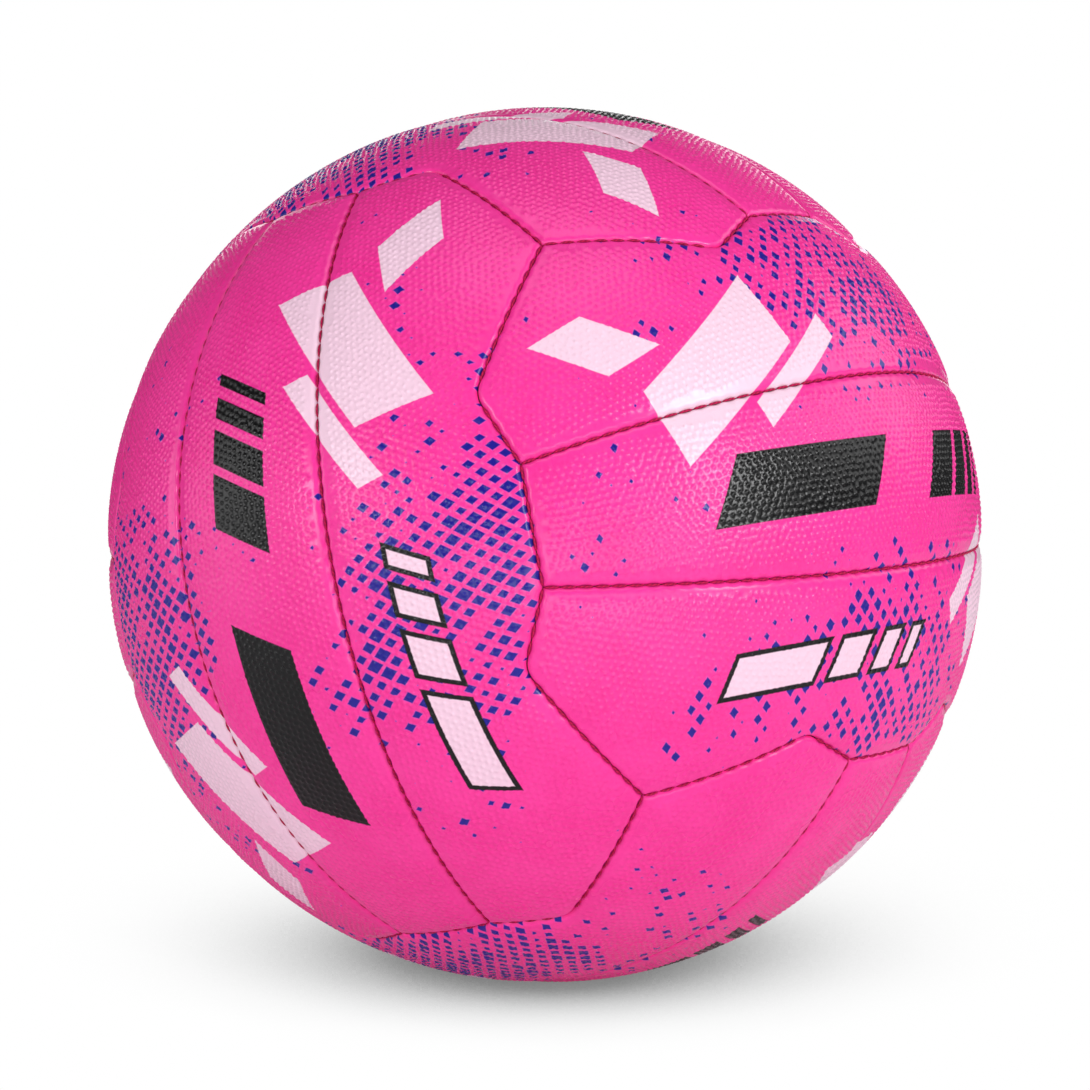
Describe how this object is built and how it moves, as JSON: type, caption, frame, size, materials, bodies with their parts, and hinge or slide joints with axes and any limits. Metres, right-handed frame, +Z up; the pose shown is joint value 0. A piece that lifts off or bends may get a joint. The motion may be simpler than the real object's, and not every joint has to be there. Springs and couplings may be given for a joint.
{
  "type": "netball",
  "caption": "Round netball of stitched, pimpled cover panels over a blown-up bladder with a needle valve, for throwing and catching.",
  "frame": {"origin": "centre of the ball", "axes": "+Z up as the ball lies on the floor, +Y away from the viewer of the picture, +X to the viewer's right"},
  "size_m": [0.2228, 0.2228, 0.2228],
  "materials": {
    "cover_panel": "pimpled synthetic cover, satin",
    "seam_thread": "waxed polyester thread",
    "bladder": "butyl rubber, matte",
    "valve_body": "moulded rubber",
    "valve_core": "soft rubber"
  },
  "bodies": {
    "root": {"back_left_end_seam_thread": "seam_thread", "back_left_long_seam_thread": "seam_thread", "back_left_lower_panel": "cover_panel", "back_left_middle_panel": "cover_panel", "back_left_upper_panel": "cover_panel", "back_right_end_seam_thread": "seam_thread", "back_right_long_seam_thread": "seam_thread", "back_right_middle_panel": "cover_panel", "back_right_rear_panel": "cover_panel", "back_right_side_panel": "cover_panel", "bladder": "bladder", "bottom_end_seam_thread": "seam_thread", "bottom_front_panel": "cover_panel", "bottom_long_seam_thread": "seam_thread", "bottom_middle_panel": "cover_panel", "bottom_rear_panel": "cover_panel", "front_left_end_seam_thread": "seam_thread", "front_left_front_panel": "cover_panel", "front_left_long_seam_thread": "seam_thread", "front_left_middle_panel": "cover_panel", "front_left_side_panel": "cover_panel", "front_right_end_seam_thread": "seam_thread", "front_right_long_seam_thread": "seam_thread", "front_right_lower_panel": "cover_panel", "front_right_middle_panel": "cover_panel", "front_right_upper_panel": "cover_panel", "top_end_seam_thread": "seam_thread", "top_front_panel": "cover_panel", "top_long_seam_thread": "seam_thread", "top_middle_panel": "cover_panel", "top_rear_panel": "cover_panel", "valve_body": "valve_body", "valve_core": "valve_core"}
  },
  "joints": []
}
